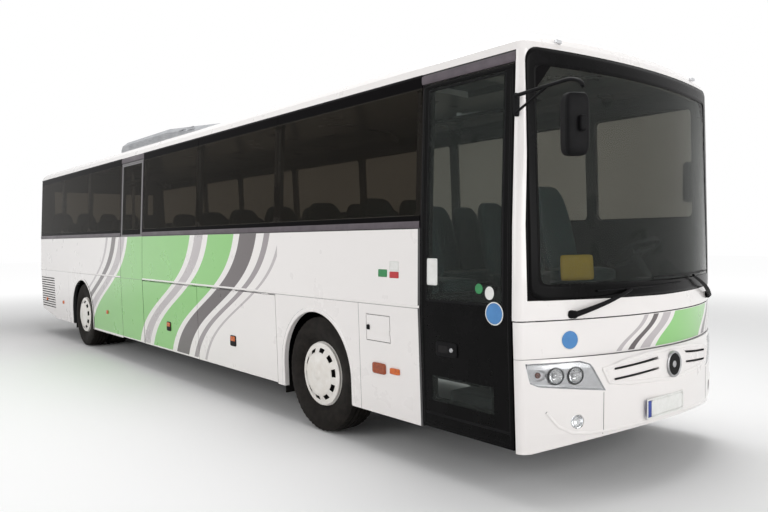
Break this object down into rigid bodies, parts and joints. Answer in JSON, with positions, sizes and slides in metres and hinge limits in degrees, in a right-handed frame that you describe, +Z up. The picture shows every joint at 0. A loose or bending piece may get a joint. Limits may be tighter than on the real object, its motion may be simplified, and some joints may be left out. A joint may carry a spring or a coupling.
{
  "type": "intercity coach bus",
  "caption": "White intercity coach with dark bonded side glass, doors on the right, luggage bays, steered front wheels and twin rear wheels.",
  "frame": {"origin": "on the ground, under the middle of the overall length and breadth", "axes": "+X forward, +Y to the left, +Z up"},
  "size_m": [12.6905, 2.874, 3.35],
  "materials": {
    "amber_lamp": "gloss",
    "black_plastic": "satin",
    "cast_iron": "rough",
    "chassis_steel": "matte",
    "dark_plastic": "matte",
    "door_black": "gloss",
    "flooring": "matte",
    "glass": "tinted",
    "grey_plastic": "satin",
    "lamp": "clear",
    "paint": "gloss",
    "red_lamp": "gloss",
    "rubber": "matte",
    "seat_fabric": "woven",
    "steel": "satin",
    "wheel_white": "gloss"
  },
  "bodies": {
    "coach_body": {"wall_right": "paint", "wall_left": "paint", "side_glazing": "glass", "roof_shell": "paint", "roof_air_unit": "grey_plastic", "windscreen": "glass", "front_mask": "paint", "front_bumper": "paint", "headlamps": "lamp", "rear_wall": "paint", "rear_window": "glass", "tail_lamps": "red_lamp", "rear_bumper": "paint", "cabin_floor": "flooring", "wheel_housings": "black_plastic", "entry_steps": "flooring", "side_markers": "amber_lamp", "underframe": "chassis_steel", "luggage_bay": "chassis_steel", "engine_block": "cast_iron", "front_axle": "chassis_steel", "rear_axle": "chassis_steel", "mud_flaps": "rubber", "dashboard": "dark_plastic", "steering_column": "dark_plastic", "driver_seat": "seat_fabric", "passenger_seats": "seat_fabric", "mirrors": "black_plastic", "wipers": "black_plastic"},
    "door_front_arm": {"door_front_arm": "steel"},
    "door_front": {"door_front_leaf": "door_black", "door_front_glass": "glass"},
    "door_mid_arm": {"door_mid_arm": "steel"},
    "door_mid": {"door_mid_leaf": "paint", "door_mid_glass": "glass"},
    "flap_right_rear": {"luggage_flap_right_rear": "paint"},
    "flap_right_front": {"luggage_flap_right_front": "paint"},
    "flap_left_rear": {"luggage_flap_left_rear": "paint"},
    "flap_left_front": {"luggage_flap_left_front": "paint"},
    "service_flap": {"service_flap": "paint"},
    "front_flap_arms": {"front_flap_arms": "steel"},
    "front_flap": {"front_flap": "paint"},
    "engine_lid": {"engine_lid": "paint"},
    "roof_hatch_front": {"roof_hatch_front": "dark_plastic"},
    "roof_hatch_rear": {"roof_hatch_rear": "dark_plastic"},
    "knuckle_right": {"knuckle_right": "cast_iron"},
    "knuckle_left": {"knuckle_left": "cast_iron"},
    "wheel_front_right": {"tyre_front_right": "rubber", "rim_front_right": "wheel_white"},
    "wheel_front_left": {"tyre_front_left": "rubber", "rim_front_left": "wheel_white"},
    "wheels_rear_right": {"tyre_rear_right": "rubber", "rim_rear_right": "wheel_white"},
    "wheels_rear_left": {"tyre_rear_left": "rubber", "rim_rear_left": "wheel_white"},
    "steering_wheel": {"steering_wheel": "dark_plastic"}
  },
  "joints": [
    {"name": "front_door_arm", "type": "hinge", "parent": "coach_body", "child": "door_front_arm", "pos_m": [5.5917, -1.11, 1], "axis": [0, 0, 1], "range_deg": [0, 140]},
    {"name": "front_door_leaf", "type": "hinge", "parent": "door_front_arm", "child": "door_front", "pos_m": [5.0917, -1.11, 1], "axis": [0, 0, 1], "range_deg": [-140, 0]},
    {"name": "mid_door_arm", "type": "hinge", "parent": "coach_body", "child": "door_mid_arm", "pos_m": [-1.5393, -1.11, 1], "axis": [0, 0, -1], "range_deg": [0, 140]},
    {"name": "mid_door_leaf", "type": "hinge", "parent": "door_mid_arm", "child": "door_mid", "pos_m": [-1.0393, -1.11, 1], "axis": [0, 0, -1], "range_deg": [-140, 0]},
    {"name": "right_rear_flap_hinge", "type": "hinge", "parent": "coach_body", "child": "flap_right_rear", "pos_m": [0.0707, -1.26857, 1.199], "axis": [-1, 0, 0], "range_deg": [0, 95]},
    {"name": "right_front_flap_hinge", "type": "hinge", "parent": "coach_body", "child": "flap_right_front", "pos_m": [1.8347, -1.26857, 1.199], "axis": [-1, 0, 0], "range_deg": [0, 95]},
    {"name": "left_rear_flap_hinge", "type": "hinge", "parent": "coach_body", "child": "flap_left_rear", "pos_m": [0.0707, 1.26857, 1.199], "axis": [1, 0, 0], "range_deg": [0, 95]},
    {"name": "left_front_flap_hinge", "type": "hinge", "parent": "coach_body", "child": "flap_left_front", "pos_m": [1.8347, 1.26857, 1.199], "axis": [1, 0, 0], "range_deg": [0, 95]},
    {"name": "service_flap_hinge", "type": "hinge", "parent": "coach_body", "child": "service_flap", "pos_m": [4.4697, -1.26528, 1], "axis": [0, 0, 1], "range_deg": [0, 95]},
    {"name": "front_flap_arm", "type": "hinge", "parent": "coach_body", "child": "front_flap_arms", "pos_m": [5.8347, 0, 1.181], "axis": [0, -1, 0], "range_deg": [0, 75]},
    {"name": "front_flap_link", "type": "hinge", "parent": "front_flap_arms", "child": "front_flap", "pos_m": [5.8347, 0, 0.981], "axis": [0, -1, 0], "range_deg": [-75, 0]},
    {"name": "engine_lid_hinge", "type": "hinge", "parent": "coach_body", "child": "engine_lid", "pos_m": [-6.2713, 0, 1.494], "axis": [0, 1, 0], "range_deg": [0, 85]},
    {"name": "front_hatch_hinge", "type": "hinge", "parent": "coach_body", "child": "roof_hatch_front", "pos_m": [4.4867, 0, 3.2], "axis": [0, 1, 0], "range_deg": [0, 100]},
    {"name": "rear_hatch_hinge", "type": "hinge", "parent": "coach_body", "child": "roof_hatch_rear", "pos_m": [-4.3433, 0, 3.2], "axis": [0, 1, 0], "range_deg": [0, 100]},
    {"name": "steer_left", "type": "hinge", "parent": "coach_body", "child": "knuckle_left", "pos_m": [3.4347, 0.93, 0.522], "axis": [0, 0, 1], "range_deg": [-42, 42]},
    {"name": "steer_right", "type": "hinge", "parent": "coach_body", "child": "knuckle_right", "pos_m": [3.4347, -0.93, 0.522], "axis": [0, 0, 1], "range_deg": [-42, 42]},
    {"name": "steering_wheel_turn", "type": "hinge", "parent": "coach_body", "child": "steering_wheel", "pos_m": [5.4197, 0.65, 1.6], "axis": [-0.5299, 0, 0.848], "range_deg": [-714, 714]},
    {"name": "spin_front_left", "type": "hinge", "parent": "knuckle_left", "child": "wheel_front_left", "pos_m": [3.4347, 1.086, 0.522], "axis": [0, 1, 0], "continuous": true},
    {"name": "spin_front_right", "type": "hinge", "parent": "knuckle_right", "child": "wheel_front_right", "pos_m": [3.4347, -1.086, 0.522], "axis": [0, 1, 0], "continuous": true},
    {"name": "spin_rear_left", "type": "hinge", "parent": "coach_body", "child": "wheels_rear_left", "pos_m": [-3.5953, 1.086, 0.522], "axis": [0, 1, 0], "continuous": true},
    {"name": "spin_rear_right", "type": "hinge", "parent": "coach_body", "child": "wheels_rear_right", "pos_m": [-3.5953, -1.086, 0.522], "axis": [0, 1, 0], "continuous": true}
  ],
  "couplings": [
    {"joint": "front_door_leaf", "follows": "front_door_arm", "ratio": -1},
    {"joint": "mid_door_leaf", "follows": "mid_door_arm", "ratio": -1},
    {"joint": "front_flap_link", "follows": "front_flap_arm", "ratio": -1},
    {"joint": "steer_right", "follows": "steer_left", "ratio": 1},
    {"joint": "steering_wheel_turn", "follows": "steer_left", "ratio": 17}
  ]
}
